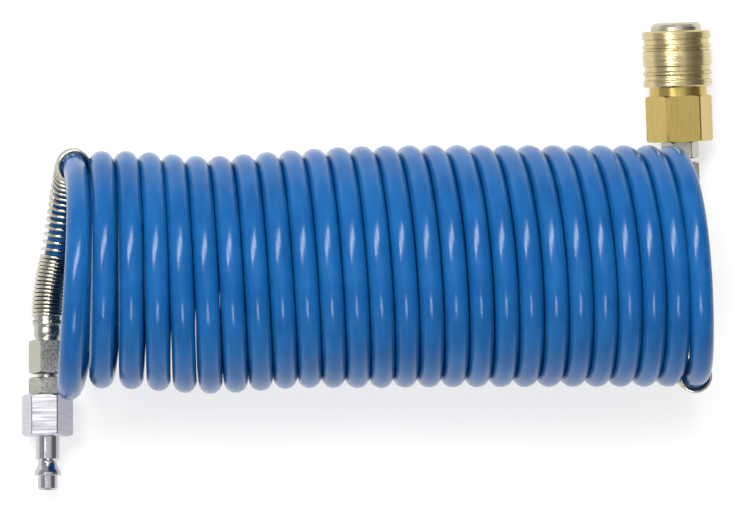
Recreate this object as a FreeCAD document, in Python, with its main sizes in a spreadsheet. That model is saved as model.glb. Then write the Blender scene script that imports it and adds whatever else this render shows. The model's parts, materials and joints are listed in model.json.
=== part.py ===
import FreeCAD, Part
import math
import os
import Sketcher
from FreeCAD import Matrix, Placement, Rotation, Vector

# Coiled air hose: a right-handed coil of 10 mm hose lies on its side along X. At the -X end
# the hose dives under the coil and runs towards -Y into a plug; at the +X end it runs
# towards +Y into a socket coupler. The table is Z = 0 and the origin is the middle of the
# footprint. Millimetres throughout.

DRIVING_DIMENSIONS = [
    ("hose_diameter", 10.0),
    ("hose_bore", 8.0),
    ("coil_diameter", 102.0),
    ("coil_centre_y", -6.2),
    ("upper_start_x", -132.5),
    ("upper_end_x", 139.0),
    ("lower_start_x", -118.2),
    ("lower_end_x", 124.0),
    ("guard_outer_radius", 6.9),
    ("guard_inner_radius", 5.7),
    # stations along a hose end, from the tail of its collar towards its free end
    ("collar_start", 9.0),
    ("guard_end", 12.8),
    ("hose_end", 20.0),
    ("nut_hex_start", 21.3),
    ("nut_chamber_start", 23.3),
    ("nut_end", 35.3),
    ("stem_hex_start", 37.0),
    ("stem_hex_end", 44.2),
    ("thread_end", 55.0),
    ("thread_bore_end", 56.0),
    ("collar_outer_radius", 5.65),
    ("collar_clearance", 0.05),
    ("barb_start", 11.0),
    ("air_bore_radius", 2.75),
    ("flange_radius", 5.7),
    ("neck_radius", 4.0),
    ("small_flats", 14.0),
    ("thread_radius", 6.55),
    ("thread_bore_radius", 6.6),
    ("ring_station", 26.35),
    ("ring_major_radius", 4.9),
    ("ring_wire_radius", 0.93),
    ("clip_start", 33.0),
    ("clip_thickness", 1.0),
    # quick plug
    ("plug_flats", 19.0),
    ("plug_hex_end", 61.8),
    ("shank_end", 71.5),
    ("groove_end", 73.6),
    ("ridge_end", 78.3),
    ("plug_tip", 84.2),
    ("shank_radius", 5.0),
    ("groove_radius", 3.95),
    ("ridge_radius", 5.65),
    ("tip_radius", 4.2),
    ("plug_bore_radius", 3.0),
    # coupler
    ("coupler_flats", 25.0),
    ("coupler_hex_end", 63.7),
    ("body_neck_radius", 12.2),
    ("body_front", 73.0),
    ("cage_start", 64.0),
    ("cage_radius", 8.3),
    ("socket_radius", 5.75),
    ("mouth_bore_radius", 6.0),
    ("mouth_bore_start", 87.3),
    ("chamber_radius", 6.5),
    ("seal_start", 77.0),
    ("seal_end", 79.3),
    ("nose_start", 89.3),
    ("mouth", 94.7),
    ("nose_radius", 10.8),
    ("ball_station", 85.3),
    ("ball_circle_radius", 6.6),
    ("ball_radius", 2.0),
    ("sleeve_start", 67.5),
    ("sleeve_end", 91.3),
    ("sleeve_radius", 14.6),
    ("sleeve_bore_radius", 12.4),
    ("sleeve_land_start", 82.5),
    ("sleeve_land_radius", 8.45),
    ("sleeve_nose_bore", 11.0),
    ("lock_cone_start", 84.22),
    ("lock_cone_end_radius", 9.98),
]
BALL_COUNT = 6
THREAD_PITCH = 1.337
THREAD_RIDGES = 7
# each grip groove's start and end, from the sleeve's rear face
SLEEVE_GROOVES = [(2.8, 5.2), (6.4, 9.0), (15.2, 16.6), (17.8, 20.4)]

doc = FreeCAD.newDocument("coiled_air_hose")
dims = doc.addObject("Spreadsheet::Sheet", "dims")
for row, (alias, value) in enumerate(DRIVING_DIMENSIONS, start=1):
    dims.set(f"A{row}", alias)
    dims.set(f"B{row}", str(value))
    dims.setAlias(f"B{row}", alias)
doc.recompute()

parts = []


def size(name):
    """A driving dimension's value, for code that works with points."""
    return float(dims.get(name))


def frame_along(direction, anchor, anchor_station):
    """Placement whose +Z runs along a fitting's axis, +Y leans upwards."""
    along = Vector(*direction).normalize()
    side = Vector(0, 0, 1).cross(along).normalize()
    up = along.cross(side)
    start = Vector(*anchor) - along * anchor_station
    axes = Matrix(
        side.x, up.x, along.x, start.x,
        side.y, up.y, along.y, start.y,
        side.z, up.z, along.z, start.z,
        0, 0, 0, 1,
    )
    return Placement(axes)


def new_body(label, placement):
    body = doc.addObject("PartDesign::Body", label)
    body.Label = label
    body.Placement = placement
    parts.append(body)
    return body


def new_sketch(body, role, name):
    sketch = body.newObject("Sketcher::SketchObject", name)
    plane = [f for f in body.Origin.OriginFeatures if f.Role == role][0]
    sketch.AttachmentSupport = [(plane, "")]
    sketch.MapMode = "FlatFace"
    return sketch


def bind_point(sketch, geometry, end, across, along):
    """Hold one end of a line at two expressions: across from the axis, along it."""
    for kind, expression in (("DistanceX", across), ("DistanceY", along)):
        value = float(sketch.evalExpression(expression))
        if kind == "DistanceX" and abs(value) < 1e-9:
            sketch.addConstraint(Sketcher.Constraint("PointOnObject", geometry, end, -2))
            continue
        index = sketch.addConstraint(
            Sketcher.Constraint(kind, -1, 1, geometry, end, value)
        )
        sketch.setExpression(f"Constraints[{index}]", expression)


def half_section(body, name, outline):
    """Closed outline of (radius, station) expressions in the plane through the axis."""
    sketch = new_sketch(body, "XZ_Plane", name)
    corners = []
    for radius, station in outline:
        x = float(sketch.evalExpression(radius))
        y = float(sketch.evalExpression(station))
        corners.append(Vector(x, y, 0))
    count = len(corners)
    for i in range(count):
        sketch.addGeometry(Part.LineSegment(corners[i], corners[(i + 1) % count]))
    for i in range(count):
        sketch.addConstraint(
            Sketcher.Constraint("Coincident", i, 2, (i + 1) % count, 1)
        )
    for i, (radius, station) in enumerate(outline):
        bind_point(sketch, i, 1, radius, station)
    return sketch


def repeat_round(body, feature, name, angle, count):
    """Copy a cut round the fitting's axis."""
    pattern = body.newObject("PartDesign::PolarPattern", name)
    pattern.Originals = [feature]
    axis = [f for f in body.Origin.OriginFeatures if f.Role == "Z_Axis"][0]
    pattern.Axis = (axis, [""])
    pattern.Angle = angle
    pattern.Occurrences = count
    body.Tip = pattern
    doc.recompute()


def turn(body, name, outline, angle=360):
    """Add a turned shape to the body."""
    sketch = half_section(body, name + "_section", outline)
    feature = body.newObject("PartDesign::Revolution", name)
    feature.Profile = sketch
    feature.ReferenceAxis = (sketch, ["V_Axis"])
    feature.Angle = angle
    body.Tip = feature
    doc.recompute()
    return feature


def bore(body, name, outline):
    """Cut a turned shape out of the body and make sure that it cut."""
    before = body.Shape.Volume
    sketch = half_section(body, name + "_section", outline)
    feature = body.newObject("PartDesign::Groove", name)
    feature.Profile = sketch
    feature.ReferenceAxis = (sketch, ["V_Axis"])
    feature.Angle = 360
    body.Tip = feature
    doc.recompute()
    if not body.Shape.Volume < before - 0.01:
        raise RuntimeError(f"{name} cuts nothing out of {body.Label}")
    return feature


def tube_outline(inner, outer, start, end):
    return [(inner, start), (outer, start), (outer, end), (inner, end)]


def hexagon(body, name, flats, start, end, angle_deg):
    """Hexagonal bar between two stations, one corner at angle_deg from +X."""
    sketch = new_sketch(body, "XY_Plane", name + "_section")
    radius = float(sketch.evalExpression(flats)) / math.sqrt(3)
    corners = []
    for i in range(6):
        turned = math.radians(angle_deg + 60 * i)
        corners.append(Vector(radius * math.cos(turned), radius * math.sin(turned), 0))
    for i in range(6):
        sketch.addGeometry(Part.LineSegment(corners[i], corners[(i + 1) % 6]))
    circle = sketch.addGeometry(Part.Circle(Vector(0, 0, 0), Vector(0, 0, 1), radius), True)
    sketch.addConstraint(Sketcher.Constraint("Coincident", circle, 3, -1, 1))
    for i in range(6):
        sketch.addConstraint(Sketcher.Constraint("Coincident", i, 2, (i + 1) % 6, 1))
        sketch.addConstraint(Sketcher.Constraint("PointOnObject", i, 1, circle))
        if i:
            sketch.addConstraint(Sketcher.Constraint("Equal", 0, i))
    index = sketch.addConstraint(Sketcher.Constraint("Radius", circle, radius))
    sketch.setExpression(f"Constraints[{index}]", f"{flats} / sqrt(3)")
    sketch.addConstraint(
        Sketcher.Constraint("Angle", 0, math.radians(angle_deg + 120))
    )
    sketch.setExpression("AttachmentOffset.Base.z", start)
    feature = body.newObject("PartDesign::Pad", name)
    feature.Profile = sketch
    feature.setExpression("Length", f"{end} - {start}")
    body.Tip = feature
    doc.recompute()
    return feature


def break_corners(body, name, flats, start, end, face_share=0.985):
    """Turned 30 degree chamfers on both ends of a hexagon, and its corners turned down a little.

    face_share sets how much of each end face the chamfers leave.
    """
    outside = f"{flats} / sqrt(3) + 1"
    corner = f"{flats} / sqrt(3) * 0.985"
    edge = f"{flats} / 2 * {face_share}"
    drop = f"(({outside}) - ({edge})) * 0.577"
    bore(body, name + "_low", [(edge, start), (outside, start), (outside, f"{start} + {drop}")])
    bore(body, name + "_high", [(edge, end), (outside, f"{end} - {drop}"), (outside, end)])
    bore(body, name + "_sides", tube_outline(corner, outside, start, end))


def cord_path(points, skip_start=0.0, skip_end=0.0):
    """Straight runs joined by tangent arcs; returns the wire, its radii and its length."""
    nodes = [Vector(*p) for p in points]
    edges = []
    radii = []
    here = nodes[0] + (nodes[1] - nodes[0]).normalize() * skip_start
    for before, corner, after in zip(nodes, nodes[1:], nodes[2:]):
        into = (corner - before).normalize()
        out = (after - corner).normalize()
        half_turn = into.getAngle(out) / 2
        setback = 0.45 * min((corner - before).Length, (after - corner).Length)
        radius = setback / math.tan(half_turn)
        radii.append(radius)
        first = corner - into * setback
        last = corner + out * setback
        toward_centre = (out - into).normalize()
        centre = corner + toward_centre * (radius / math.cos(half_turn))
        middle = centre - toward_centre * radius
        edges.append(Part.LineSegment(here, first).toShape())
        edges.append(Part.Arc(first, middle, last).toShape())
        here = last
    final = nodes[-1] - (nodes[-1] - nodes[-2]).normalize() * skip_end
    edges.append(Part.LineSegment(here, final).toShape())
    wire = Part.Wire(edges)
    return wire, radii, wire.Length


def hollow_pipe(wire, inner_radius, outer_radius):
    start = wire.Edges[0].Vertexes[0].Point
    direction = wire.Edges[0].tangentAt(wire.Edges[0].FirstParameter)
    solids = []
    for radius in (outer_radius, inner_radius):
        ring = Part.Wire(Part.makeCircle(radius, start, direction))
        solids.append(wire.makePipeShell([ring], True, False))
    return solids[0].cut(solids[1])


def add_shape(label, shape, placement=Placement()):
    feature = doc.addObject("Part::Feature", label)
    feature.Label = label
    feature.Shape = shape
    feature.Placement = placement
    parts.append(feature)
    return feature


# The coil: one hollow drum of the turns' outer shape. Its lower half is shorter, so that the
# tails and their guards can pass beside it on the table.
def make_coil():
    along_x = Rotation(Vector(0, 1, 0), 90)
    halves = []
    for half, roll in (("upper", 90), ("lower", -90)):
        drum = doc.addObject("Part::Cylinder", half + "_turns")
        drum.setExpression("Radius", "dims.coil_diameter / 2")
        drum.setExpression("Height", f"dims.{half}_end_x - dims.{half}_start_x")
        drum.Angle = 180
        drum.Placement = Placement(Vector(0, 0, 0), Rotation(Vector(1, 0, 0), roll) * along_x)
        drum.setExpression("Placement.Base.x", f"dims.{half}_start_x")
        drum.setExpression("Placement.Base.y", "dims.coil_centre_y")
        drum.setExpression("Placement.Base.z", "dims.coil_diameter / 2")
        halves.append(drum)
    both = doc.addObject("Part::MultiFuse", "all_turns")
    both.Shapes = halves
    inside = doc.addObject("Part::Cylinder", "coil_inside")
    inside.setExpression("Radius", "dims.coil_diameter / 2 - dims.hose_diameter")
    inside.setExpression("Height", "dims.upper_end_x - dims.upper_start_x + 20")
    inside.Placement = Placement(Vector(0, 0, 0), along_x)
    inside.setExpression("Placement.Base.x", "dims.upper_start_x - 10")
    inside.setExpression("Placement.Base.y", "dims.coil_centre_y")
    inside.setExpression("Placement.Base.z", "dims.coil_diameter / 2")
    coil = doc.addObject("Part::Cut", "hose_coil")
    coil.Label = "hose_coil"
    coil.Base = both
    coil.Tool = inside
    parts.append(coil)


# The two hose ends share one station scale along their axes.
PLUG_DIRECTION = (0.0, -math.cos(math.radians(4.0)), math.sin(math.radians(4.0)))
COUPLER_DIRECTION = (-0.0399, 0.9986, 0.035)
PLUG_FRAME = frame_along(PLUG_DIRECTION, (-135.8, -59.3, 10.5), size("stem_hex_end"))
COUPLER_FRAME = frame_along(COUPLER_DIRECTION, (132.4, 47.8, 14.05), size("stem_hex_end"))
LAST_RUN = 17.0


def tail_route(free_points, frame):
    """Hand-chosen points, then a last straight run along the fitting's axis."""
    run_start = frame.multVec(Vector(0, 0, size("hose_end") - LAST_RUN))
    run_end = frame.multVec(Vector(0, 0, size("hose_end")))
    return free_points + [tuple(run_start), tuple(run_end)]


PLUG_TAIL = tail_route(
    [
        (-125.9, 39.8, 50.95),
        (-125.9, 39.8, 36.5),
        (-127.2, 31.5, 21.0),
        (-129.0, 18.0, 10.4),
        (-131.6, 0.5, 7.1),
    ],
    PLUG_FRAME,
)
COUPLER_TAIL = tail_route(
    [
        (133.6, -52.2, 50.95),
        (133.6, -52.2, 36.5),
        (134.3, -44.2, 21.0),
        (134.7, -31.5, 13.4),
        (134.7, -10.3, 11.9),
    ],
    COUPLER_FRAME,
)


def make_tail(prefix, route):
    """Hose between the coil and its fitting, with the spring guard's envelope round it."""
    outer = size("hose_diameter") / 2
    inner = size("hose_bore") / 2
    wire, radii, length = cord_path(route)
    tail = add_shape(prefix + "_hose_tail", hollow_pipe(wire, inner, outer))
    expected = math.pi * (outer**2 - inner**2) * length
    shown = ", ".join(f"{radius:.1f}" for radius in radii)
    print(f"{prefix} tail: length {length:.1f}, radii {shown}")
    print(f"{prefix} tail: volume {tail.Shape.Volume:.1f}, section x length {expected:.1f}")
    guard_wire = cord_path(route, 0.4, size("hose_end") - size("guard_end"))[0]
    guard = hollow_pipe(guard_wire, size("guard_inner_radius"), size("guard_outer_radius"))
    add_shape(prefix + "_spring_guard", guard)


def make_collar(prefix, frame):
    body = new_body(prefix + "_crimp_collar", frame)
    inner = "dims.hose_diameter / 2 + dims.collar_clearance"
    outer = "dims.collar_outer_radius"
    turn(body, prefix + "_collar_wall", [
        (inner, "dims.collar_start"),
        (f"{outer} - 0.25", "dims.collar_start"),
        (outer, "dims.collar_start + 0.8"),
        (outer, "dims.hose_end - 0.6"),
        (f"{outer} - 0.3", "dims.hose_end"),
        (inner, "dims.hose_end"),
    ])


def make_insert(prefix, frame):
    """Barbed tail inside the hose, with a flange that the swivel nut pulls on."""
    body = new_body(prefix + "_hose_insert", frame)
    crest = "dims.hose_bore / 2 - 0.02"
    root = "dims.hose_bore / 2 - 0.35"
    outline = [("dims.air_bore_radius", "dims.barb_start"), (root, "dims.barb_start")]
    for barb in range(3):
        start = f"dims.barb_start + {barb * 2.6:.1f}"
        outline.append((crest, f"{start} + 2.0"))
        outline.append((root, f"{start} + 2.2"))
    outline += [
        (root, "dims.hose_end - 0.4"),
        (crest, "dims.hose_end"),
        (crest, "dims.nut_chamber_start"),
        ("dims.flange_radius", "dims.nut_chamber_start"),
        ("dims.flange_radius", "dims.nut_chamber_start + 2"),
        ("dims.air_bore_radius", "dims.nut_chamber_start + 2"),
    ]
    turn(body, prefix + "_insert_shape", outline)


def make_nut(prefix, frame, corner_angle):
    body = new_body(prefix + "_swivel_nut", frame)
    hexagon(body, prefix + "_nut_hexagon", "dims.small_flats", "dims.nut_hex_start",
            "dims.nut_end", corner_angle)
    break_corners(body, prefix + "_nut_corners", "dims.small_flats", "dims.nut_hex_start",
                  "dims.nut_end")
    turn(body, prefix + "_nut_neck",
         tube_outline("0", "5.0", "dims.hose_end", "dims.nut_hex_start + 0.5"))
    chamber = "dims.flange_radius + 0.3"
    groove = "dims.clip_start - 0.05"
    bore(body, prefix + "_nut_bore", [
        ("0", "dims.hose_end - 1"),
        ("dims.neck_radius + 0.05", "dims.hose_end - 1"),
        ("dims.neck_radius + 0.05", "dims.nut_chamber_start"),
        (chamber, "dims.nut_chamber_start"),
        (chamber, groove),
        (f"{chamber} + 0.4", groove),
        (f"{chamber} + 0.4", f"{groove} + dims.clip_thickness + 0.1"),
        (chamber, f"{groove} + dims.clip_thickness + 0.1"),
        (chamber, "dims.nut_end + 1"),
        ("0", "dims.nut_end + 1"),
    ])


def make_clip(prefix, frame):
    """Open snap ring that keeps the stem in the nut."""
    body = new_body(prefix + "_swivel_circlip", frame)
    turn(body, prefix + "_clip_ring", tube_outline(
        "dims.neck_radius + 0.3", "dims.flange_radius + 0.6",
        "dims.clip_start", "dims.clip_start + dims.clip_thickness"), 325)


def make_stem(prefix, frame, corner_angle):
    """Swivel stem: a flanged brass tail that turns in the nut, a thin hexagon, a male thread."""
    body = new_body(prefix + "_swivel_stem", frame)
    hexagon(body, prefix + "_stem_hexagon", "dims.small_flats", "dims.stem_hex_start",
            "dims.stem_hex_end", corner_angle)
    break_corners(body, prefix + "_stem_corners", "dims.small_flats",
                  "dims.stem_hex_start", "dims.stem_hex_end")
    hub_start = "dims.nut_chamber_start + 2.1"
    flange_start = "dims.ring_station + dims.ring_wire_radius + 0.05"
    outline = [
        ("0", hub_start),
        ("dims.neck_radius - 0.1", hub_start),
        ("dims.neck_radius - 0.1", flange_start),
        ("dims.flange_radius + 0.15", flange_start),
        ("dims.flange_radius + 0.15", "dims.clip_start - 0.1"),
        ("dims.neck_radius", "dims.clip_start - 0.1"),
        ("dims.neck_radius", "dims.stem_hex_start + 0.5"),
        ("0", "dims.stem_hex_start + 0.5"),
    ]
    turn(body, prefix + "_stem_tail", outline)
    root = "dims.thread_radius - 0.7"
    thread_start = "dims.stem_hex_end + 0.7"
    thread = [("0", "dims.stem_hex_end - 0.5"), (root, "dims.stem_hex_end - 0.5")]
    for ridge in range(THREAD_RIDGES):
        start = f"{thread_start} + {ridge * THREAD_PITCH:.3f}"
        thread.append((root, start))
        thread.append(("dims.thread_radius", f"{start} + {THREAD_PITCH / 2:.4f}"))
    thread.append((root, f"{thread_start} + {THREAD_RIDGES * THREAD_PITCH:.3f}"))
    thread.append((root, "dims.thread_end"))
    thread.append(("0", "dims.thread_end"))
    turn(body, prefix + "_stem_thread", thread)
    bore(body, prefix + "_stem_bore",
         tube_outline("0", "dims.air_bore_radius", f"{hub_start} - 1", "dims.thread_end + 1"))


def make_o_ring(prefix, frame):
    ring = doc.addObject("Part::Torus", prefix + "_swivel_o_ring")
    ring.Label = prefix + "_swivel_o_ring"
    ring.setExpression("Radius1", "dims.ring_major_radius")
    ring.setExpression("Radius2", "dims.ring_wire_radius")
    ring.Placement = Placement(frame.multVec(Vector(0, 0, size("ring_station"))), frame.Rotation)
    parts.append(ring)


def make_washer(prefix, frame):
    """Flat gasket at the bottom of the female thread."""
    body = new_body(prefix + "_thread_gasket", frame)
    turn(body, prefix + "_gasket_disc", tube_outline(
        "dims.plug_bore_radius + 0.2", "dims.thread_radius - 0.1",
        "dims.thread_end", "dims.thread_bore_end"))


def make_hose_end(prefix, frame, route, nut_angle, stem_angle):
    make_tail(prefix, route)
    make_collar(prefix, frame)
    make_insert(prefix, frame)
    make_nut(prefix, frame, nut_angle)
    make_clip(prefix, frame)
    make_stem(prefix, frame, stem_angle)
    make_o_ring(prefix, frame)
    make_washer(prefix, frame)


def make_quick_plug(frame):
    body = new_body("quick_plug", frame)
    hexagon(body, "plug_hexagon", "dims.plug_flats", "dims.stem_hex_end", "dims.plug_hex_end", 10)
    break_corners(body, "plug_corners", "dims.plug_flats", "dims.stem_hex_end", "dims.plug_hex_end")
    turn(body, "plug_nose", [
        ("0", "dims.plug_hex_end - 0.5"),
        ("dims.shank_radius", "dims.plug_hex_end - 0.5"),
        ("dims.shank_radius", "dims.shank_end - 0.3"),
        ("dims.groove_radius", "dims.shank_end + 0.7"),
        ("dims.groove_radius", "dims.groove_end - 0.6"),
        ("dims.groove_radius + 0.4", "dims.groove_end + 0.8"),
        ("dims.ridge_radius - 0.4", "dims.groove_end + 2.4"),
        ("dims.ridge_radius", "dims.ridge_end - 1.3"),
        ("dims.ridge_radius", "dims.ridge_end - 0.3"),
        ("dims.ridge_radius - 0.3", "dims.ridge_end"),
        ("dims.tip_radius", "dims.ridge_end"),
        ("dims.tip_radius", "dims.plug_tip - 0.6"),
        ("dims.tip_radius - 0.6", "dims.plug_tip"),
        ("0", "dims.plug_tip"),
    ])
    bore(body, "plug_bore", [
        ("0", "dims.stem_hex_end - 1"),
        ("dims.thread_bore_radius", "dims.stem_hex_end - 1"),
        ("dims.thread_bore_radius", "dims.thread_bore_end"),
        ("dims.plug_bore_radius", "dims.thread_bore_end"),
        ("dims.plug_bore_radius", "dims.plug_tip + 1"),
        ("0", "dims.plug_tip + 1"),
    ])


def make_rear_body(frame):
    """Brass body: hexagon with the female thread, and the neck that guides the sleeve."""
    body = new_body("coupler_rear_body", frame)
    hexagon(body, "rear_hexagon", "dims.coupler_flats", "dims.stem_hex_end",
            "dims.coupler_hex_end", 1.5)
    break_corners(body, "rear_corners", "dims.coupler_flats", "dims.stem_hex_end",
                  "dims.coupler_hex_end", 1.06)
    turn(body, "rear_neck", [
        ("0", "dims.coupler_hex_end - 0.5"),
        ("dims.body_neck_radius", "dims.coupler_hex_end - 0.5"),
        ("dims.body_neck_radius", "dims.body_front - 0.5"),
        ("dims.body_neck_radius - 0.5", "dims.body_front"),
        ("0", "dims.body_front"),
    ])
    bore(body, "rear_bore", [
        ("0", "dims.stem_hex_end - 1"),
        ("dims.thread_bore_radius", "dims.stem_hex_end - 1"),
        ("dims.thread_bore_radius", "dims.thread_bore_end"),
        ("dims.plug_bore_radius + 0.5", "dims.thread_bore_end"),
        ("dims.plug_bore_radius + 0.5", "dims.thread_bore_end + 4"),
        ("dims.chamber_radius - 0.3", "dims.thread_bore_end + 4"),
        ("dims.chamber_radius - 0.3", "dims.cage_start"),
        ("dims.cage_radius + 0.05", "dims.cage_start"),
        ("dims.cage_radius + 0.05", "dims.body_front + 1"),
        ("0", "dims.body_front + 1"),
    ])


def make_ball_cage(frame):
    """Steel socket: valve chamber, ball holes and the nose flange that stops the sleeve."""
    body = new_body("ball_cage", frame)
    turn(body, "cage_outside", [
        ("0", "dims.cage_start"),
        ("dims.cage_radius", "dims.cage_start"),
        ("dims.cage_radius", "dims.nose_start"),
        ("dims.nose_radius", "dims.nose_start"),
        ("dims.nose_radius", "dims.mouth - 1.9"),
        ("dims.nose_radius - 0.5", "dims.mouth - 0.9"),
        ("dims.nose_radius - 1.5", "dims.mouth"),
        ("0", "dims.mouth"),
    ])
    bore(body, "cage_bore", [
        ("0", "dims.cage_start - 1"),
        ("dims.chamber_radius", "dims.cage_start - 1"),
        ("dims.chamber_radius", "dims.seal_end"),
        ("dims.socket_radius", "dims.seal_end"),
        ("dims.socket_radius", "dims.mouth_bore_start"),
        ("dims.mouth_bore_radius", "dims.mouth_bore_start"),
        ("dims.mouth_bore_radius", "dims.mouth - 1.7"),
        ("dims.mouth_bore_radius + 1.1", "dims.mouth - 0.4"),
        ("dims.mouth_bore_radius + 1.1", "dims.mouth + 1"),
        ("0", "dims.mouth + 1"),
    ])
    station = "dims.ball_station"
    lip = "dims.ball_radius - 0.08"
    wide = "dims.ball_radius + 0.1"
    sketch = half_section(body, "ball_hole_section", [
        ("dims.socket_radius - 0.6", station),
        ("dims.socket_radius - 0.6", f"{station} + {lip}"),
        ("dims.socket_radius", f"{station} + {lip}"),
        ("dims.ball_circle_radius", f"{station} + {wide}"),
        ("dims.cage_radius + 0.5", f"{station} + {wide}"),
        ("dims.cage_radius + 0.5", station),
    ])
    hole = body.newObject("PartDesign::Groove", "ball_hole")
    hole.Profile = sketch
    hole.ReferenceAxis = (sketch, ["Edge6"])
    hole.Angle = 360
    body.Tip = hole
    doc.recompute()
    repeat_round(body, hole, "ball_holes", 360, BALL_COUNT)


def make_balls(frame):
    radius = size("ball_circle_radius")
    for number in range(BALL_COUNT):
        turned = math.radians(number * 360 / BALL_COUNT)
        centre = Vector(radius * math.cos(turned), radius * math.sin(turned), size("ball_station"))
        ball = doc.addObject("Part::Sphere", f"locking_ball_{number + 1}")
        ball.Label = f"locking_ball_{number + 1}"
        ball.setExpression("Radius", "dims.ball_radius")
        ball.Placement = Placement(frame.multVec(centre), frame.Rotation)
        parts.append(ball)


def make_sleeve(frame):
    """Brass sleeve with two pairs of grip grooves, and the cone that holds the balls in."""
    body = new_body("locking_sleeve", frame)
    outside = "dims.sleeve_radius"
    start = "dims.sleeve_start"
    outline = [
        ("dims.sleeve_bore_radius", start),
        (f"{outside} - 0.6", start),
        (outside, f"{start} + 0.6"),
    ]
    for low, high in SLEEVE_GROOVES:
        floor = f"{outside} - 0.7"
        outline.append((outside, f"{start} + {low}"))
        outline.append((floor, f"{start} + {low} + 0.35"))
        outline.append((floor, f"{start} + {high} - 0.35"))
        outline.append((outside, f"{start} + {high}"))
    outline += [
        (outside, "dims.sleeve_end - 0.7"),
        (f"{outside} - 0.7", "dims.sleeve_end"),
        ("dims.sleeve_nose_bore", "dims.sleeve_end"),
        ("dims.sleeve_nose_bore", "dims.nose_start - 0.02"),
        ("dims.lock_cone_end_radius", "dims.nose_start - 0.02"),
        ("dims.sleeve_land_radius", "dims.lock_cone_start"),
        ("dims.sleeve_land_radius", "dims.sleeve_land_start"),
        ("dims.sleeve_bore_radius", "dims.sleeve_land_start"),
    ]
    turn(body, "sleeve_shape", outline)


def make_poppet(frame):
    """Valve poppet: a disc on the seal, and a slotted skirt that guides it."""
    body = new_body("valve_poppet", frame)
    face = "dims.seal_start - 0.02"
    turn(body, "poppet_shape", [
        ("0", f"{face} - 3"),
        ("5.3", f"{face} - 3"),
        ("5.3", f"{face} - 7"),
        ("dims.chamber_radius - 0.12", f"{face} - 7"),
        ("dims.chamber_radius - 0.12", f"{face} - 2.4"),
        ("5.7", f"{face} - 1.6"),
        ("5.7", face),
        ("3.4", face),
        ("2.6", f"{face} + 1.6"),
        ("0", f"{face} + 1.6"),
    ])
    before = body.Shape.Volume
    sketch = half_section(body, "skirt_window_section", [
        ("-1.6", f"{face} - 8"),
        ("1.6", f"{face} - 8"),
        ("1.6", f"{face} - 3.2"),
        ("-1.6", f"{face} - 3.2"),
    ])
    window = body.newObject("PartDesign::Pocket", "skirt_window")
    window.Profile = sketch
    window.Type = "ThroughAll"
    window.Midplane = True
    body.Tip = window
    doc.recompute()
    repeat_round(body, window, "skirt_windows", 180, 2)
    if not body.Shape.Volume < before - 1:
        raise RuntimeError("the skirt windows cut nothing")


def make_socket_seal(frame):
    body = new_body("socket_seal", frame)
    turn(body, "seal_ring", [
        ("dims.tip_radius - 0.1", "dims.seal_start + 0.4"),
        ("dims.tip_radius + 0.3", "dims.seal_start"),
        ("dims.chamber_radius - 0.05", "dims.seal_start"),
        ("dims.chamber_radius - 0.05", "dims.seal_end"),
        ("dims.tip_radius - 0.1", "dims.seal_end"),
    ])


def make_spring(label, frame, start, end, radius, wire_radius, turns):
    """Helical compression spring between two stations."""
    low = start + wire_radius
    length = end - start - 2 * wire_radius
    helix = Part.Wire(Part.makeLongHelix(length / turns, length, radius).Edges)
    section = Part.Wire(Part.makeCircle(wire_radius, Vector(radius, 0, 0), Vector(0, 1, 0)))
    spring = helix.makePipeShell([section], True, True)
    place = Placement(frame.multVec(Vector(0, 0, low)), frame.Rotation)
    add_shape(label, spring, place)


make_coil()
make_hose_end("plug", PLUG_FRAME, PLUG_TAIL, 53, 53)
make_quick_plug(PLUG_FRAME)
make_hose_end("coupler", COUPLER_FRAME, COUPLER_TAIL, 40, 0)
make_rear_body(COUPLER_FRAME)
make_ball_cage(COUPLER_FRAME)
make_balls(COUPLER_FRAME)
make_sleeve(COUPLER_FRAME)
make_poppet(COUPLER_FRAME)
make_socket_seal(COUPLER_FRAME)
make_spring("sleeve_spring", COUPLER_FRAME, size("body_front") + 0.05,
            size("sleeve_land_start") - 0.05, 10.3, 0.6, 3.5)
make_spring("valve_spring", COUPLER_FRAME, size("thread_bore_end") + 4.05,
            size("seal_start") - 3.1, 4.5, 0.45, 6)

doc.recompute()
for item in doc.Objects:
    if "Invalid" in item.State or "Error" in item.State:
        raise RuntimeError(f"{item.Name} failed: {item.State}")
for part in parts:
    if part.Shape.isNull() or not part.Shape.isValid():
        raise RuntimeError(f"{part.Label} has no valid shape")

os.makedirs("parts", exist_ok=True)
for part in parts:
    part.Shape.exportStep(f"parts/{part.Label}.step")
    print(f"{part.Label}: {part.Shape.Volume:.1f} mm3")
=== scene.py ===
import json
import math

import bmesh
import bpy
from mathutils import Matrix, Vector


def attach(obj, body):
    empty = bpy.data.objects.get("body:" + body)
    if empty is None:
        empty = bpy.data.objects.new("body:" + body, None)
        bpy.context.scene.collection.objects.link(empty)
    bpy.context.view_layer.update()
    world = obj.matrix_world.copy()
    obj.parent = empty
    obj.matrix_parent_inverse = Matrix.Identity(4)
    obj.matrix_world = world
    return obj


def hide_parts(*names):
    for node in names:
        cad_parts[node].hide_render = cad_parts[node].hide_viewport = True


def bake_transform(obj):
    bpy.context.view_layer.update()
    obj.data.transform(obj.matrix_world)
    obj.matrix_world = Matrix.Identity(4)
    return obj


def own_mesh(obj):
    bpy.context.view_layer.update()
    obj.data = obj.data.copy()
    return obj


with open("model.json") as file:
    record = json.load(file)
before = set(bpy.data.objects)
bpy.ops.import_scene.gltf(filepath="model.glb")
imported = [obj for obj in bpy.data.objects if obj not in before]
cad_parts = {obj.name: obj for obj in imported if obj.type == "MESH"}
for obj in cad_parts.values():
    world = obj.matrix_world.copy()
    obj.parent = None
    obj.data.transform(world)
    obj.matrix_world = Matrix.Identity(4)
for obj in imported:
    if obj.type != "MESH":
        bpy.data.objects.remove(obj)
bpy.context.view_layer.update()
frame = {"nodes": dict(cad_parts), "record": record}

MM = 0.001

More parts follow.
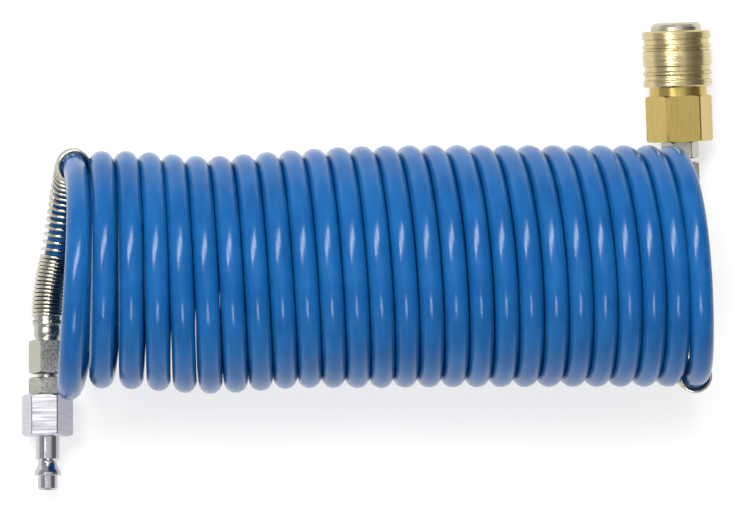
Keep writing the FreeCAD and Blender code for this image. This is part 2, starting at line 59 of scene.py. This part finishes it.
# Sizes in millimetres. Stations are distances along a fitting's axis from the tail of its hose end.
HOSE_RADIUS = 5.0
HOSE_SIDES = 24
TURNS = 26
RING_RADIUS = 46.0
POINTS_PER_TURN = 16
PITCH = 9.942
FIRST_TOP_X = -125.1
LAST_RUN = 17.0
HOSE_END = 20.0
STEM_HEX_END = 44.2
GUARD_END = 12.8
GUARD_RADIUS = 6.38
WIRE_RADIUS = 0.72
OPEN_PITCH = 3.3
CLOSE_PITCH = 1.62
CLOSE_LENGTH = 24.5
WIRE_SIDES = 10

# Crimped collar.
COLLAR_START = 9.0
COLLAR_LIP_START = 13.5
COLLAR_LIP_END = 14.5
COLLAR_BEAD = 16.1
COLLAR_BORE_RADIUS = 5.1
COLLAR_WALL_RADIUS = 5.65
COLLAR_LIP_RADIUS = 6.25
TEETH = 20
TOOTH_STEPS = 4
TOOTH_DEPTH = 0.7

# Springs inside the coupler: start, end, radius, wire radius, turns, joint, travel.
SLEEVE_SPRING = (73.05, 82.45, 10.3, 0.6, 3.5, "sleeve_slide", 3.5)
VALVE_SPRING = (60.05, 73.9, 4.5, 0.45, 6, "valve_slide", 5.0)

BUMP_DISTANCE = 0.0001

# Where each fitting's axis runs: a point at the stem's thread face, and the way it points.
PLUG_ANCHOR = Vector((-135.8, -59.3, 10.5))
PLUG_ALONG = Vector((0.0, -math.cos(math.radians(4.0)), math.sin(math.radians(4.0))))
COUPLER_ANCHOR = Vector((132.4, 47.8, 14.05))
COUPLER_ALONG = Vector((-0.0399, 0.9986, 0.035)).normalized()

# The free route of each tail, from the coil to the fitting.
PLUG_TAIL = [
    (-125.7, 36.6, 43.0),
    (-126.2, 38.4, 33.0),
    (-127.2, 31.5, 19.5),
    (-129.0, 18.0, 10.4),
    (-131.6, 0.5, 7.1),
]
COUPLER_TAIL = [
    (134.2, -51.2, 50.6),
    (134.0, -51.4, 36.5),
    (134.3, -44.2, 21.0),
    (134.7, -31.5, 13.4),
    (134.7, -10.3, 11.9),
]


def station(anchor, along, distance):
    """A point on a fitting's axis, by its distance from the tail of the hose end."""
    return anchor + along * (distance - STEM_HEX_END)


def with_last_run(points, anchor, along):
    start = station(anchor, along, HOSE_END - LAST_RUN)
    end = station(anchor, along, HOSE_END)
    return [Vector(p) for p in points] + [start, end]


# ---------------------------------------------------------------- the coil's turns

def top_x(turn):
    """Where turn number `turn` crosses its highest-Y side."""
    settled = 0.65 * math.exp(-(((turn - 2) / 1.6) ** 2)) - 0.7 * math.exp(-(((turn - 14) / 5) ** 2))
    return FIRST_TOP_X + PITCH * turn + settled


def lean(turn):
    """How far the front of a turn runs along X from its top to its bottom."""
    return 8.67 - 11.7 * math.exp(-turn / 3.2) + 2.7 * math.exp(-(25 - turn) / 0.3)


def centre_y(turn):
    slump = 2.5 * math.exp(-(((turn - 5.5) / 2.5) ** 2))
    first = 7.2 * math.exp(-((turn / 0.6) ** 2))
    return -5.6 + 0.6 * math.tanh((turn - 11) / 3) - first - slump


def ring_radius(turn):
    """The turns of the left part are wound a little tighter than the others."""
    begun = (1 + math.tanh((turn - 0.7) / 0.25)) / 2
    ended = (1 + math.tanh((turn - 10.5) / 1.5)) / 2
    return RING_RADIUS - 1.5 * begun * (1 - ended) - 0.4 * ended


def front_shift(turn):
    """How far the middle of a front strand stands to the right of the line of its ends."""
    return -1.45 + 2.1 * (1 + math.tanh((turn - 14.5) / 6))


def coil_point(turns):
    """Centre of the hose after this many turns from the first top."""
    turn = int(turns)
    part = turns - turn
    angle = 2 * math.pi * part
    half = PITCH / 2
    bottom_x = top_x(turn) + lean(turn)
    if part <= 0.5:
        extra = lean(turn) - half
        x = top_x(turn) + half * 2 * part + extra * ((1 - math.cos(angle)) / 2) ** 1.4
        x += front_shift(turn) * math.sin(angle)
        if turn == TURNS - 1:
            x -= 1.7 * math.sin(angle) * (1 - math.cos(angle))
    else:
        extra = top_x(turn + 1) - bottom_x - half
        behind = 2 * part - 1
        x = bottom_x + half * behind + extra * (1 - (1 - behind) ** 2)
        x += 1.5 * math.exp(-turn / 1.2) * math.sin(math.pi * behind) ** 2
    radius = ring_radius(turns)
    return centre_point(x, turns) + Vector((0, radius * math.cos(angle), radius * math.sin(angle)))


def centre_point(x, turns):
    """The middle of a turn, which rests on the floor."""
    return Vector((x, centre_y(turns), HOSE_RADIUS + ring_radius(turns)))


def coil_controls():
    """Control points of the turns; a quadratic spline runs inside its points."""
    outside = 1 / (0.75 + 0.25 * math.cos(2 * math.pi / POINTS_PER_TURN))
    controls = []
    count = int((TURNS - 0.5) * POINTS_PER_TURN)
    for i in range(1, count):
        turns = i / POINTS_PER_TURN
        point = coil_point(turns)
        axis = centre_point(point.x, turns)
        controls.append(axis + (point - axis) * outside)
    return controls


def hose_route():
    plug = with_last_run(PLUG_TAIL, PLUG_ANCHOR, PLUG_ALONG)
    coupler = with_last_run(COUPLER_TAIL, COUPLER_ANCHOR, COUPLER_ALONG)
    return list(reversed(plug)) + coil_controls() + coupler


def spline_points(name, controls, resolution=3):
    """Points read from a smooth spline through the route, in metres."""
    curve = bpy.data.curves.new(name, "CURVE")
    curve.dimensions = "3D"
    curve.resolution_u = resolution
    spline = curve.splines.new("NURBS")
    spline.points.add(len(controls) - 1)
    for point, control in zip(spline.points, controls):
        point.co = (control.x * MM, control.y * MM, control.z * MM, 1.0)
    spline.order_u = 3
    spline.use_endpoint_u = True
    holder = add_object(name, curve)
    bpy.context.view_layer.update()
    mesh = bpy.data.meshes.new_from_object(holder)
    points = [v.co.copy() for v in mesh.vertices]
    bpy.data.objects.remove(holder)
    bpy.data.curves.remove(curve)
    bpy.data.meshes.remove(mesh)
    return points


# ---------------------------------------------------------------- mesh helpers

def add_object(name, data):
    obj = bpy.data.objects.new(name, data)
    bpy.context.scene.collection.objects.link(obj)
    return obj


def transport_frames(points):
    """A direction and a steady sideways vector at each point of a line."""
    tangents = []
    last = len(points) - 1
    for i in range(len(points)):
        tangents.append((points[min(i + 1, last)] - points[max(i - 1, 0)]).normalized())
    side = tangents[0].orthogonal().normalized()
    frames = []
    for tangent in tangents:
        side = (side - tangent * side.dot(tangent)).normalized()
        frames.append((tangent, side, tangent.cross(side)))
    return frames


def sweep(name, points, radius, sides):
    """A closed round tube along points; radius in metres."""
    verts = []
    faces = []
    for point, (_, side, up) in zip(points, transport_frames(points)):
        for k in range(sides):
            a = 2 * math.pi * k / sides
            verts.append(point + (side * math.cos(a) + up * math.sin(a)) * radius)
    for i in range(len(points) - 1):
        for k in range(sides):
            a = i * sides + k
            b = i * sides + (k + 1) % sides
            faces.append((a, b, b + sides, a + sides))
    faces.append(tuple(reversed(range(sides))))
    faces.append(tuple(range((len(points) - 1) * sides, len(points) * sides)))
    mesh = bpy.data.meshes.new(name)
    mesh.from_pydata(verts, [], faces)
    mesh.validate()
    mesh.shade_smooth()
    return add_object(name, mesh)


def tube_modifier(material, radius, sides):
    """Geometry nodes that draw a round tube along a line of edges, so it stays round as the line moves."""
    group = bpy.data.node_groups.new("round_tube", "GeometryNodeTree")
    group.interface.new_socket("Geometry", in_out="INPUT", socket_type="NodeSocketGeometry")
    group.interface.new_socket("Geometry", in_out="OUTPUT", socket_type="NodeSocketGeometry")
    nodes = group.nodes
    links = group.links
    start = nodes.new("NodeGroupInput")
    to_curve = nodes.new("GeometryNodeMeshToCurve")
    circle = nodes.new("GeometryNodeCurvePrimitiveCircle")
    circle.inputs["Resolution"].default_value = sides
    circle.inputs["Radius"].default_value = radius
    to_mesh = nodes.new("GeometryNodeCurveToMesh")
    to_mesh.inputs["Fill Caps"].default_value = True
    smooth = nodes.new("GeometryNodeSetShadeSmooth")
    paint = nodes.new("GeometryNodeSetMaterial")
    paint.inputs["Material"].default_value = material
    end = nodes.new("NodeGroupOutput")
    links.new(start.outputs["Geometry"], to_curve.inputs["Mesh"])
    links.new(to_curve.outputs["Curve"], to_mesh.inputs["Curve"])
    links.new(circle.outputs["Curve"], to_mesh.inputs["Profile Curve"])
    links.new(to_mesh.outputs["Mesh"], smooth.inputs["Geometry"])
    links.new(smooth.outputs["Geometry"], paint.inputs["Geometry"])
    links.new(paint.outputs["Geometry"], end.inputs["Geometry"])
    return group


def arc_lengths(points):
    total = [0.0]
    for a, b in zip(points, points[1:]):
        total.append(total[-1] + (b - a).length)
    return total


def winding(points, pitch_at, radius, steps=20):
    """Points of a wire wound round a line; pitch_at gives the pitch at each distance along it."""
    lengths = arc_lengths(points)
    frames = transport_frames(points)
    result = []
    here = 0.0
    angle = 0.0
    segment = 0
    while here < lengths[-1]:
        while segment < len(points) - 2 and lengths[segment + 1] < here:
            segment += 1
        span = lengths[segment + 1] - lengths[segment]
        t = (here - lengths[segment]) / span
        centre = points[segment].lerp(points[segment + 1], t)
        _, side, up = frames[segment]
        _, next_side, next_up = frames[segment + 1]
        side = side.lerp(next_side, t).normalized()
        up = up.lerp(next_up, t).normalized()
        result.append(centre + (side * math.cos(angle) + up * math.sin(angle)) * radius)
        here += pitch_at(here) / steps
        angle += 2 * math.pi / steps
    return result


# ---------------------------------------------------------------- materials

def new_material(name):
    material = bpy.data.materials.new(name)
    material.use_nodes = True
    nodes = material.node_tree.nodes
    shader = nodes["Principled BSDF"]
    return material, nodes, material.node_tree.links, shader


def noise(nodes, links, scale, detail=4.0, stretch=(1, 1, 1)):
    coordinates = nodes.new("ShaderNodeTexCoord")
    mapping = nodes.new("ShaderNodeMapping")
    mapping.inputs["Scale"].default_value = stretch
    texture = nodes.new("ShaderNodeTexNoise")
    texture.inputs["Scale"].default_value = scale
    texture.inputs["Detail"].default_value = detail
    links.new(coordinates.outputs["Object"], mapping.inputs["Vector"])
    links.new(mapping.outputs["Vector"], texture.inputs["Vector"])
    return texture


def ramp(nodes, links, source, low, high, start=0.35, end=0.65):
    node = nodes.new("ShaderNodeValToRGB")
    node.color_ramp.elements[0].position = start
    node.color_ramp.elements[1].position = end
    node.color_ramp.elements[0].color = low
    node.color_ramp.elements[1].color = high
    links.new(source, node.inputs["Fac"])
    return node


def bump(nodes, links, shader, height, strength):
    node = nodes.new("ShaderNodeBump")
    node.inputs["Strength"].default_value = strength
    node.inputs["Distance"].default_value = BUMP_DISTANCE
    links.new(height, node.inputs["Height"])
    links.new(node.outputs["Normal"], shader.inputs["Normal"])


def grey(value):
    return (value, value, value, 1.0)


def hose_material():
    material, nodes, links, shader = new_material("hose_blue")
    mottle = noise(nodes, links, 60.0, 3.0)
    colour = ramp(nodes, links, mottle.outputs["Fac"], (0.003, 0.084, 0.262, 1), (0.006, 0.103, 0.300, 1))
    links.new(colour.outputs["Color"], shader.inputs["Base Color"])
    smear = noise(nodes, links, 220.0, 2.0)
    gloss = ramp(nodes, links, smear.outputs["Fac"], grey(0.14), grey(0.22))
    links.new(gloss.outputs["Color"], shader.inputs["Roughness"])
    fine = noise(nodes, links, 900.0, 2.0)
    bump(nodes, links, shader, fine.outputs["Fac"], 0.02)
    shader.inputs["IOR"].default_value = 1.4
    shader.inputs["Specular IOR Level"].default_value = 0.38
    shader.inputs["Subsurface Weight"].default_value = 0.8
    shader.inputs["Subsurface Radius"].default_value = (0.1, 0.4, 1.0)
    shader.inputs["Subsurface Scale"].default_value = 0.005
    return material


def metal_material(name, low, high, rough, grain, stretch=(1, 1, 1), strength=0.15):
    """Plated or turned metal: grain per metre, drawn out by stretch along a lay or a turning mark."""
    material, nodes, links, shader = new_material(name)
    shader.inputs["Metallic"].default_value = 1.0
    patches = noise(nodes, links, grain, 3.0, stretch)
    colour = ramp(nodes, links, patches.outputs["Fac"], low, high)
    links.new(colour.outputs["Color"], shader.inputs["Base Color"])
    smear = noise(nodes, links, grain * 0.4, 3.0, stretch)
    gloss = ramp(nodes, links, smear.outputs["Fac"], grey(rough[0]), grey(rough[1]))
    links.new(gloss.outputs["Color"], shader.inputs["Roughness"])
    bump(nodes, links, shader, patches.outputs["Fac"], strength)
    return material


def dull_material(name, colour, roughness, grain):
    material, nodes, links, shader = new_material(name)
    patches = noise(nodes, links, 300.0, 3.0)
    darker = tuple(c * 0.8 for c in colour[:3]) + (1,)
    shade = ramp(nodes, links, patches.outputs["Fac"], darker, colour)
    links.new(shade.outputs["Color"], shader.inputs["Base Color"])
    shader.inputs["Roughness"].default_value = roughness
    fine = noise(nodes, links, grain, 3.0)
    bump(nodes, links, shader, fine.outputs["Fac"], 0.2)
    return material


# Turned pieces lie along Y: a turning mark is fine along Y and long across it.
# On a drawn bar it is the other way round.
TURNED = (0.05, 1.0, 0.05)
DRAWN = (1.0, 0.05, 1.0)

MATERIALS = {
    "hose": hose_material(),
    "spring_steel": metal_material(
        "bright_wire", (0.46, 0.445, 0.37, 1), (0.60, 0.58, 0.49, 1), (0.10, 0.20), 900.0),
    "nickel_plate": metal_material(
        "nickel_plate", (0.40, 0.40, 0.35, 1), (0.47, 0.46, 0.40, 1), (0.24, 0.34), 3000.0, strength=0.12),
    "zinc_steel": metal_material(
        "zinc_steel", (0.45, 0.45, 0.50, 1), (0.52, 0.52, 0.57, 1), (0.10, 0.17), 2200.0, TURNED, 0.03),
    "brass": metal_material(
        "drawn_brass", (0.48, 0.365, 0.115, 1), (0.54, 0.41, 0.135, 1), (0.20, 0.30), 1800.0, DRAWN, 0.07),
    "bearing_steel": metal_material(
        "bearing_steel", (0.60, 0.60, 0.62, 1), (0.70, 0.70, 0.72, 1), (0.05, 0.10), 600.0),
    "rubber": dull_material("nitrile", (0.02, 0.02, 0.02, 1), 0.6, 2000.0),
    "nylon": dull_material("nylon", (0.7, 0.68, 0.6, 1), 0.45, 1500.0),
}
# The same record slots, with the finish of one piece of its own.
FINISHES = {
    "locking_sleeve": metal_material(
        "turned_brass", (0.52, 0.43, 0.22, 1), (0.64, 0.54, 0.30, 1), (0.16, 0.30), 2200.0, TURNED, 0.9),
    "ball_cage": metal_material(
        "yellow_zinc", (0.46, 0.43, 0.34, 1), (0.58, 0.54, 0.42, 1), (0.20, 0.32), 1600.0, TURNED, 0.3),
    "plug_swivel_stem": metal_material(
        "worn_nickel", (0.22, 0.22, 0.19, 1), (0.56, 0.55, 0.48, 1), (0.26, 0.40), 3200.0, strength=0.5),
}


def dress(obj, slot):
    obj.data.materials.clear()
    obj.data.materials.append(MATERIALS[slot])


for entry in frame["record"]["subparts"]:
    node = frame["nodes"][entry["node"]]
    node.data.materials.clear()
    node.data.materials.append(FINISHES.get(entry["node"], MATERIALS[entry["material_slot"]]))


# ---------------------------------------------------------------- hose

line = spline_points("hose_line", hose_route())
hose_mesh = bpy.data.meshes.new("coiled_hose")
hose_mesh.from_pydata(line, [(i, i + 1) for i in range(len(line) - 1)], [])
hose = add_object("coiled_hose", hose_mesh)
dress(hose, "hose")
round_tube = hose.modifiers.new("round_tube", "NODES")
round_tube.node_group = tube_modifier(MATERIALS["hose"], HOSE_RADIUS * MM, HOSE_SIDES)
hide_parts("hose_coil", "plug_hose_tail", "coupler_hose_tail")
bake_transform(hose)


# ---------------------------------------------------------------- spring guards

def guard(name, tail, anchor, along, body):
    """Anti-kink wire round a tail: close-wound on the collar, open over the bend."""
    controls = with_last_run(tail, anchor, along)
    points = spline_points(name + "_line", controls, 12)
    lengths = arc_lengths(points)
    cut = lengths[-1] - (HOSE_END - GUARD_END) * MM
    kept = [p for p, d in zip(points, lengths) if d <= cut]
    end = arc_lengths(kept)[-1]
    close_from = end - CLOSE_LENGTH * MM
    end_turn = 1.2 * CLOSE_PITCH * MM

    def pitch_at(distance):
        if distance > close_from or distance < end_turn:
            return CLOSE_PITCH * MM
        return OPEN_PITCH * MM

    wire = winding(kept, pitch_at, GUARD_RADIUS * MM)
    obj = sweep(name, wire, WIRE_RADIUS * MM, WIRE_SIDES)
    dress(obj, "spring_steel")
    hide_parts(name)
    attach(obj, body)


guard("plug_spring_guard", PLUG_TAIL, PLUG_ANCHOR, PLUG_ALONG, "hose")
guard("coupler_spring_guard", COUPLER_TAIL, COUPLER_ANCHOR, COUPLER_ALONG, "coupler_hose_end")


# ---------------------------------------------------------------- crimped collars

def lathe(name, anchor, along, rings, steps):
    """A closed turned piece; each ring is (station, radius, tooth), tooth moving it towards the tail."""
    side = along.orthogonal().normalized()
    up = along.cross(side)
    work = bmesh.new()
    circles = []
    for distance, radius, tooth in rings:
        circle = []
        for k in range(steps):
            angle = 2 * math.pi * k / steps
            rise = tooth * (1 - abs((k % TOOTH_STEPS) / (TOOTH_STEPS / 2) - 1))
            centre = station(anchor, along, distance - rise)
            spot = centre + (side * math.cos(angle) + up * math.sin(angle)) * radius
            circle.append(work.verts.new(spot * MM))
        circles.append(circle)
    for near, far in zip(circles, circles[1:] + circles[:1]):
        for k in range(steps):
            after = (k + 1) % steps
            work.faces.new((near[k], near[after], far[after], far[k]))
    bmesh.ops.recalc_face_normals(work, faces=work.faces)
    mesh = bpy.data.meshes.new(name)
    work.to_mesh(mesh)
    work.free()
    mesh.shade_smooth()
    mesh.set_sharp_from_angle(angle=math.radians(35))
    return add_object(name, mesh)


def crimp_collar(name, anchor, along, body):
    """Sleeve squeezed on the hose end, with a toothed lip that the spring guard sits against."""
    bore = COLLAR_BORE_RADIUS
    wall = COLLAR_WALL_RADIUS
    lip = COLLAR_LIP_RADIUS
    rings = [
        (COLLAR_START, bore, 0.0),
        (COLLAR_START, wall - 0.3, 0.0),
        (COLLAR_START + 0.4, wall, 0.0),
        (COLLAR_LIP_START, wall, TOOTH_DEPTH),
        (COLLAR_LIP_START, lip - 0.1, TOOTH_DEPTH),
        (COLLAR_LIP_START + 0.2, lip, TOOTH_DEPTH - 0.1),
        (COLLAR_LIP_END, lip, 0.0),
        (COLLAR_BEAD - 1.0, wall + 0.05, 0.0),
        (COLLAR_BEAD, wall - 0.15, 0.0),
        (COLLAR_BEAD + 1.0, wall + 0.05, 0.0),
        (HOSE_END - 0.7, wall, 0.0),
        (HOSE_END, wall - 0.35, 0.0),
        (HOSE_END, bore, 0.0),
    ]
    obj = lathe(name, anchor, along, rings, TEETH * TOOTH_STEPS)
    dress(obj, "nickel_plate")
    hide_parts(name)
    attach(obj, body)


crimp_collar("plug_crimp_collar", PLUG_ANCHOR, PLUG_ALONG, "hose")
crimp_collar("coupler_crimp_collar", COUPLER_ANCHOR, COUPLER_ALONG, "coupler_hose_end")


# ---------------------------------------------------------------- springs inside the coupler

def compression_spring(name, start, end, radius, wire_radius, turns, joint, travel):
    """Wire spring between two stations, built at a single length."""
    low = station(COUPLER_ANCHOR, COUPLER_ALONG, start + wire_radius) * MM
    high = station(COUPLER_ANCHOR, COUPLER_ALONG, end - wire_radius) * MM
    pitch = (high - low).length / turns
    wire = winding([low, high], lambda distance: pitch, radius * MM, steps=32)
    obj = sweep(name, wire, wire_radius * MM, WIRE_SIDES)
    dress(obj, "spring_steel")
    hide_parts(name)
    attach(obj, "coupler_end")
    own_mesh(obj)


compression_spring("sleeve_spring", *SLEEVE_SPRING)
compression_spring("valve_spring", *VALVE_SPRING)


# ---------------------------------------------------------------- stage, light, camera

def add_floor():
    mesh = bpy.data.meshes.new("floor")
    half = 6.0
    corners = [(-half, -half, 0), (half, -half, 0), (half, half, 0), (-half, half, 0)]
    mesh.from_pydata(corners, [], [(0, 1, 2, 3)])
    floor = add_object("floor", mesh)
    material, nodes, links, shader = new_material("pale_floor")
    shader.inputs["Base Color"].default_value = (0.4, 0.4, 0.4, 1)
    shader.inputs["Roughness"].default_value = 0.9
    shader.inputs["Specular IOR Level"].default_value = 0.1
    shader.inputs["Emission Color"].default_value = (1, 1, 1, 1)
    shader.inputs["Emission Strength"].default_value = 0.62
    floor.data.materials.append(material)


def add_world():
    """Soft room: darker overhead, bright towards the horizon, dim low on the +X side."""
    world = bpy.data.worlds.new("studio")
    world.use_nodes = True
    nodes = world.node_tree.nodes
    links = world.node_tree.links
    coordinates = nodes.new("ShaderNodeTexCoord")
    split = nodes.new("ShaderNodeSeparateXYZ")
    links.new(coordinates.outputs["Generated"], split.inputs["Vector"])
    height = ramp(nodes, links, split.outputs["Z"], grey(1.0), grey(0.62), 0.12, 0.75)
    side = ramp(nodes, links, split.outputs["X"], grey(1.0), (0.42, 0.38, 0.34, 1), 0.55, 0.85)
    mix = nodes.new("ShaderNodeMix")
    mix.data_type = "RGBA"
    mix.blend_type = "MULTIPLY"
    mix.inputs["Factor"].default_value = 1.0
    links.new(height.outputs["Color"], mix.inputs["A"])
    links.new(side.outputs["Color"], mix.inputs["B"])
    background = nodes["Background"]
    links.new(mix.outputs["Result"], background.inputs["Color"])
    background.inputs["Strength"].default_value = 0.62
    bpy.context.scene.world = world


def add_softbox(name, tilt_y, tilt_x, distance, width, depth, power):
    """Rectangular lamp seen at a tilt from overhead towards +Y and +X, facing the coil."""
    target = Vector((0.0, 0.0, 0.051))
    direction = Vector((math.sin(math.radians(tilt_x)), math.tan(math.radians(tilt_y)), 1)).normalized()
    data = bpy.data.lights.new(name, "AREA")
    data.shape = "RECTANGLE"
    data.size = width
    data.size_y = depth
    data.energy = power
    lamp = add_object(name, data)
    lamp.location = target + direction * distance
    lamp.rotation_euler = (target - lamp.location).to_track_quat("-Z", "Y").to_euler()


def add_camera():
    target = Vector((-0.0022, -0.0004, 0.051))
    distance = 2.5
    lean_left = math.radians(4.87)
    data = bpy.data.cameras.new("camera")
    data.sensor_width = 36.0
    data.lens = 36.0 * distance / 0.3096
    data.clip_end = 50.0
    camera = add_object("camera", data)
    camera.location = target + Vector((-math.sin(lean_left), 0, math.cos(lean_left))) * distance
    camera.rotation_euler = (0, -lean_left, 0)
    bpy.context.scene.camera = camera


add_floor()
add_world()
add_softbox("key_light", 26, -12, 1.2, 1.60, 0.46, 6.0)
add_softbox("key_middle", 23.5, -13, 1.2, 1.10, 0.30, 14.0)
add_softbox("low_light", -38, -5, 1.2, 0.40, 0.36, 4.0)
add_softbox("overhead_fill", -3, 0, 1.2, 1.28, 0.55, 1.1)
add_camera()
bpy.context.scene.view_settings.view_transform = "Standard"
